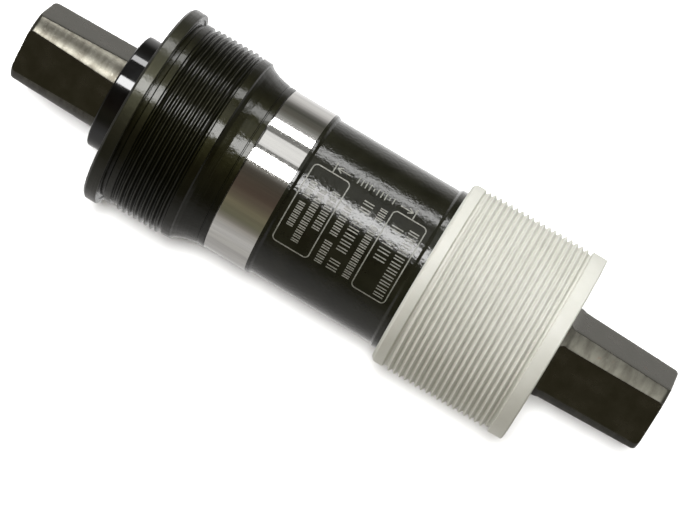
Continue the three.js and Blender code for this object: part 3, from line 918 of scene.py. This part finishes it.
def end_rows(envelope, length):
    """Rows of one square end, from the drill point out to the face and back to the round shank.

    Distances are from the tip; the envelope gives turned radii at some of them.
    """
    envelope_of = lambda depth: float(np.interp(depth, *envelope))
    face_half, face_envelope = flat_height(0, length) - FLAT_FILLET, envelope_of(0) - CORNER_FILLET
    face_angles = square_angles(face_half, face_envelope)
    root_r = BOLT_R + BOLT_THREAD_HEIGHT
    bore = np.arange(BOLT_DEPTH, BOLT_THREAD_END, -1.0).tolist()
    thread = np.arange(BOLT_THREAD_END, BOLT_THREAD_START + 0.1, -BOLT_PITCH / 8).tolist()
    rows = [(BOLT_DEPTH + 1.9, face_angles, 0.3, 0)]
    for depth in bore + thread:
        height = thread_height(depth, -(face_angles + SQUARE_TURN), BOLT_FIRST_CREST, 1,
                               BOLT_PITCH, BOLT_THREAD_START, BOLT_THREAD_END)
        threaded = root_r - BOLT_THREAD_HEIGHT * height
        rows.append((depth, face_angles, threaded if depth < BOLT_THREAD_END else BOLT_R, 0))
    for depth, r in ((1.1, root_r), (0.12, BOLT_MOUTH_R - 0.1), (0, BOLT_MOUTH_R + 0.05)):
        rows.append((depth, face_angles, r, 0))
    edge = square_radius(face_half, face_envelope, face_angles)
    for t in (0.35, 0.7):
        rows.append((0, face_angles, BOLT_MOUTH_R + t * (edge - BOLT_MOUTH_R), 0))
    tip = CORNER_FILLET * (1 - np.cos(np.linspace(0, math.pi / 2, 8)))
    square = np.arange(1, length, 1.0).tolist()
    run_out = np.arange(length, length + 3.6, 0.2).tolist()
    for depth in tip.tolist() + square + run_out:
        turned = envelope_of(depth) - round_over(depth, CORNER_FILLET)
        half = flat_height(depth, length) - round_over(depth, FLAT_FILLET)
        angles = square_angles(half, turned)
        zones = corner_zones(length + TURNED_PAST_SQUARE > depth)
        rows.append((depth, angles, square_radius(half, turned, angles), zones))
    return rows


def round_over(depth, fillet):
    """How far a rounded edge has fallen back at this depth from the tip."""
    left = max(0.0, fillet - depth)
    return fillet - math.sqrt(fillet ** 2 - left ** 2)


def corner_zones(on_square):
    """Material number of each column: 1 on the turned corners between the flats."""
    column = np.arange(QUARTER_COLUMNS * 4) % QUARTER_COLUMNS
    first = FLAT_COLUMNS + EDGE_COLUMNS // 2
    last = first + EDGE_COLUMNS + TURNED_COLUMNS
    return ((column >= first) & (column < last) & on_square).astype(int)


def spindle():
    """The two square ends, and between them the journals, the shoulders and the core."""
    drive = end_rows(DRIVE_ENVELOPE, DRIVE_SQUARE_LENGTH)
    far = end_rows(NON_DRIVE_ENVELOPE, NON_DRIVE_SQUARE_LENGTH)
    shoulder = BEARING_SHOULDER
    fillet = 0.2
    round_angles = square_angles(JOURNAL_R, JOURNAL_R)
    middle = [(a, round_angles, r, 0) for a, r in (
        (23.5, JOURNAL_R), (28.5, JOURNAL_R), (shoulder - fillet, JOURNAL_R),
        (shoulder, JOURNAL_R + fillet), (shoulder, CORE_R - fillet), (shoulder + fillet, CORE_R))]
    near_half = drive + middle
    far_half = [(LENGTH - a, t, r, zone) for a, t, r, zone in (far + middle)[::-1]]
    rows = [[a, t + SQUARE_TURN, np.broadcast_to(r, t.shape), zone]
            for a, t, r, zone in near_half + far_half]
    piece = skin("spindle_machined", rows, [SPINDLE, CORNERS], closed=False)
    place(piece, "spindle", "spindle_steel", "spindle")


# ------------------------------------------------------------------ bearings

BALL_COLUMNS = 24
BALL_ROWS = 12
BALL_PITCH_R = 10.75
RACE_CLEARANCE = 0.12
RING_STAND_OFF = 0.06         # of the inner ring from the journal
INNER_SHOULDER_R = 9.6
OUTER_SHOULDER_R = 11.9
OUTER_RING_R = 12.95
SEAL_CORNERS = (("near", 11.85, 0.08), ("near", 11.2, 0.1), ("sunk", 11.05, 0.1),
                ("sunk", 10.3, 0.1), ("near", 10.15, 0.1), ("near", 9.75, 0.08),
                ("far", 9.75, 0.08), ("far", 11.85, 0.08))
SEAL_SINK = 0.12


def ball(name, centre, radius):
    """A bearing ball, its poles along the spindle."""
    n = BALL_COLUMNS
    vertices, faces = [], []
    for k, t in enumerate(np.linspace(0, math.pi, BALL_ROWS + 2)[1:-1]):
        for u in even_angles(n):
            spot = (-math.cos(t), math.sin(t) * math.sin(u), math.sin(t) * math.cos(u))
            vertices.append(centre + Vector(spot) * radius * MM)
        if k:
            a, b = (k - 1) * n, k * n
            faces += [(a + i, a + (i + 1) % n, b + (i + 1) % n, b + i) for i in range(n)]
    last = len(vertices) - n
    vertices += [centre - Vector((radius * MM, 0, 0)), centre + Vector((radius * MM, 0, 0))]
    faces += [(len(vertices) - 2, (i + 1) % n, i) for i in range(n)]
    faces += [(len(vertices) - 1, last + i, last + (i + 1) % n) for i in range(n)]
    return mesh_object(name, vertices, faces, None, [BALL])


def raceway(middle, race_r, shoulder_r, way):
    """Corners of the groove in a ring; way is 1 in the outer ring and -1 in the inner."""
    half = math.acos(abs(shoulder_r - BALL_PITCH_R) / race_r)
    return [c(middle + race_r * math.sin(t), BALL_PITCH_R + way * race_r * math.cos(t))
            for t in np.linspace(-half, half, 15)]


def ground_ring(name, start, end, plain_r, shoulder_r, race_r, way):
    """A bearing ring, plain at one radius and with a raceway between shoulders at the other."""
    groove = raceway((start + end) / 2, race_r, shoulder_r, way)
    corners = [c(end, plain_r, 0.3), c(start, plain_r, 0.3),
               c(start, shoulder_r, 0.1), *groove, c(end, shoulder_r, 0.1)]
    return ring(name, corners, [RING], 96, 3)


def bearing(side, cage_body):
    """Rings, seals, balls and cage of one bearing. The cage keeps its CAD shape."""
    start, end = stations(f"{side}_bearing_outer_ring")
    low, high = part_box(f"{side}_bearing_ball_01")
    ball_r = (high.x - low.x) / 2 / MM
    race_r = ball_r + RACE_CLEARANCE
    for which, body, plain_r, shoulder_r, way in (
            ("inner", "spindle", JOURNAL_R + RING_STAND_OFF, INNER_SHOULDER_R, -1),
            ("outer", "cartridge", OUTER_RING_R, OUTER_SHOULDER_R, 1)):
        node = f"{side}_bearing_{which}_ring"
        piece = ground_ring(f"{node}_ground", start, end, plain_r, shoulder_r, race_r, way)
        place(piece, body, "ring_steel", node)
    for node in (f"{side}_bearing_outboard_seal", f"{side}_bearing_inboard_seal"):
        near, far = stations(node)
        station = {"near": near, "sunk": near + SEAL_SINK, "far": far}
        corners = [c(station[where], r, fillet) for where, r, fillet in SEAL_CORNERS]
        place(ring(f"{node}_moulded", corners, [RUBBER], 96, 2), "cartridge", "seal_rubber", node)
    for node in [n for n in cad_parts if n.startswith(f"{side}_bearing_ball_")]:
        low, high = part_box(node)
        place(ball(f"{node}_polished", (low + high) / 2, ball_r), cage_body, "ball_steel", node)
    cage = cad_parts[f"{side}_bearing_cage"]
    cage.data.materials.clear()
    cage.data.materials.append(NYLON)


# ------------------------------------------------------------------ stage, light and camera

FLOOR_Z = -FLANGE_R * MM


def floor():
    """A wide pale disc that the flange rests on."""
    count = 96
    radius = 6.0              # metres
    vertices = [(radius * math.cos(t), radius * math.sin(t), FLOOR_Z) for t in even_angles(count)]
    surface = mesh_object("floor", vertices, [tuple(range(count))], closed=False)
    material, nodes, links, shader = new_material("pale_floor")
    cloud = object_noise(nodes, links, 3, 2)
    tone = mixed(nodes, links, cloud, (0.79, 0.79, 0.79), (0.81, 0.81, 0.81))
    links.new(tone, shader.inputs["Base Color"])
    shader.inputs["Roughness"].default_value = 1
    shader.inputs["IOR"].default_value = 1
    surface.data.materials.append(material)
    surface.visible_glossy = False
    surface.visible_diffuse = False
    return surface


def softbox(name, angle, width, length, distance, radiance, middle=0.0):
    """An area light along the axis, at this angle from overhead towards +Y.

    It is seen only in reflections. Its middle lies this far along X. All lengths are in metres.
    """
    data = bpy.data.lights.new(name, "AREA")
    data.shape = "RECTANGLE"
    data.size, data.size_y = length, width
    data.energy = radiance * math.pi * width * length
    light = bpy.data.objects.new(name, data)
    bpy.context.scene.collection.objects.link(light)
    turn = math.radians(angle)
    back = Vector((0, math.sin(turn), math.cos(turn)))
    across = Vector((1, 0, 0))
    light.matrix_world = Matrix((
        (*across,), (*back.cross(across),), (*back,),
    )).transposed().to_4x4()
    light.location = back * distance + across * middle
    light.visible_camera = False
    light.visible_diffuse = False
    return light


def glow(name, angle, sideways, size, distance, radiance):
    """A soft square light that fills matt surfaces and shows in no reflection.

    It stands at this angle from overhead towards +Y, and sideways from there towards -X.
    """
    light = softbox(name, angle, size, size, distance, radiance)
    turn, slant = math.radians(angle), math.radians(sideways)
    level = math.cos(slant)
    back = Vector((-math.sin(slant), level * math.sin(turn), level * math.cos(turn)))
    facing = back.to_track_quat("Z", "Y").to_matrix().to_4x4()
    light.matrix_world = Matrix.Translation(back * distance) @ facing
    light.visible_diffuse = True
    light.visible_glossy = False
    return light


def only_lights(light, surface):
    """Keeps a light off everything but this surface."""
    receivers = bpy.data.collections.new(f"lit_by_{light.name}")
    receivers.objects.link(surface)
    light.light_linking.receiver_collection = receivers


# Colour of the studio at each angle from overhead towards +Y, in degrees.
STUDIO_BANDS = [
    (-180, (0.75, 0.75, 0.74)), (-160, (0.52, 0.51, 0.5)), (-137, (0.47, 0.46, 0.45)),
    (-124, (0.44, 0.43, 0.42)), (-110, (0.53, 0.52, 0.5)), (-97, (0.59, 0.58, 0.57)),
    (-86, (0.48, 0.47, 0.45)), (-79, (0.41, 0.39, 0.36)), (-73, (0.245, 0.23, 0.19)),
    (-65, (0.16, 0.155, 0.105)), (-48, (0.19, 0.17, 0.112)), (-36, (0.13, 0.105, 0.077)),
    (-26, (0.096, 0.071, 0.054)), (-9, (0.073, 0.06, 0.046)), (0, (0.08, 0.07, 0.056)),
    (6, (0.2, 0.19, 0.17)), (28, (0.22, 0.22, 0.21)), (62, (0.24, 0.24, 0.23)),
    (78, (0.5, 0.5, 0.49)), (86, (0.25, 0.25, 0.23)), (94, (0.146, 0.14, 0.12)),
    (107, (0.1, 0.1, 0.085)), (115, (0.19, 0.185, 0.175)), (123, (0.51, 0.5, 0.49)),
    (132, (0.71, 0.7, 0.69)), (146, (0.81, 0.8, 0.79)), (163, (1.05, 1.05, 1.05)),
    (180, (0.75, 0.75, 0.74)),
]
BACKDROP = (0.93, 0.93, 0.93)  # what the camera sees past the floor


def room():
    """The studio round the object, as soft bands of light and dark about the X axis."""
    world = bpy.data.worlds.new("studio")
    bpy.context.scene.world = world
    world.use_nodes = True
    nodes, links = world.node_tree.nodes, world.node_tree.links
    background = nodes["Background"]
    where = nodes.new("ShaderNodeTexCoord")
    split = nodes.new("ShaderNodeSeparateXYZ")
    links.new(where.outputs["Generated"], split.inputs["Vector"])
    turn = nodes.new("ShaderNodeMath")
    turn.operation = "ARCTAN2"
    links.new(split.outputs["Y"], turn.inputs[0])
    links.new(split.outputs["Z"], turn.inputs[1])
    share = spread(nodes, links, turn.outputs["Value"], -math.pi, math.pi, 0, 1)
    bands = nodes.new("ShaderNodeValToRGB")
    links.new(share, bands.inputs["Fac"])
    ramp_stops = bands.color_ramp.elements
    while len(ramp_stops) > 1:
        ramp_stops.remove(ramp_stops[-1])
    for i, (angle, colour) in enumerate(STUDIO_BANDS):
        stop = ramp_stops[0] if i == 0 else ramp_stops.new((angle + 180) / 360)
        stop.position = (angle + 180) / 360
        stop.color = (*colour, 1)
    seen = nodes.new("ShaderNodeLightPath")
    light = mixed(nodes, links, seen.outputs["Is Camera Ray"], bands.outputs["Color"], BACKDROP)
    links.new(light, background.inputs["Color"])
    background.inputs["Strength"].default_value = 1.0


def camera():
    """Looks almost straight down, with the axis running down to the right across the picture."""
    image_width = 688
    focal_pixels = 3200
    distance = 0.5405
    lean = math.radians(2.7)
    axis_slope = math.radians(-30.84)
    aim = Vector((2.75, -4.23, 0)) * MM
    back = Vector((math.sin(lean), 0, math.cos(lean)))
    level = Vector((math.cos(lean), 0, -math.sin(lean)))
    side = back.cross(level)
    right = level * math.cos(axis_slope) - side * math.sin(axis_slope)
    up = back.cross(right)
    data = bpy.data.cameras.new("camera")
    data.sensor_width = 36
    data.lens = data.sensor_width * focal_pixels / image_width
    data.clip_start, data.clip_end = 0.05, 50
    view = bpy.data.objects.new("camera", data)
    bpy.context.scene.collection.objects.link(view)
    view.matrix_world = Matrix((right, up, back)).transposed().to_4x4()
    view.location = aim + back * distance
    bpy.context.scene.camera = view


camera()
room()
softbox("overhead_softbox", angle=17.5, width=0.31, length=1.2, distance=1.1, radiance=22)
softbox("side_softbox", angle=69, width=0.23, length=1.2, distance=1.1, radiance=11)
softbox("white_card", angle=42.5, width=0.42, length=0.77, distance=1.1, radiance=0.8, middle=0.215)
glow("key_glow", angle=40, sideways=13, size=1.0, distance=1.5, radiance=7.3)
glow("bounce_glow", angle=-72, sideways=42, size=1.0, distance=1.5, radiance=2.3)
wash = glow("floor_wash", angle=4, sideways=0, size=0.3, distance=1.5, radiance=125)
only_lights(wash, floor())
bpy.context.scene.view_settings.view_transform = "Standard"

drive_cup()
adapter()
cartridge_tube()
print_marks()
collars()
spindle()
bearing("drive", "drive_cage")
bearing("non_drive", "non_drive_cage")
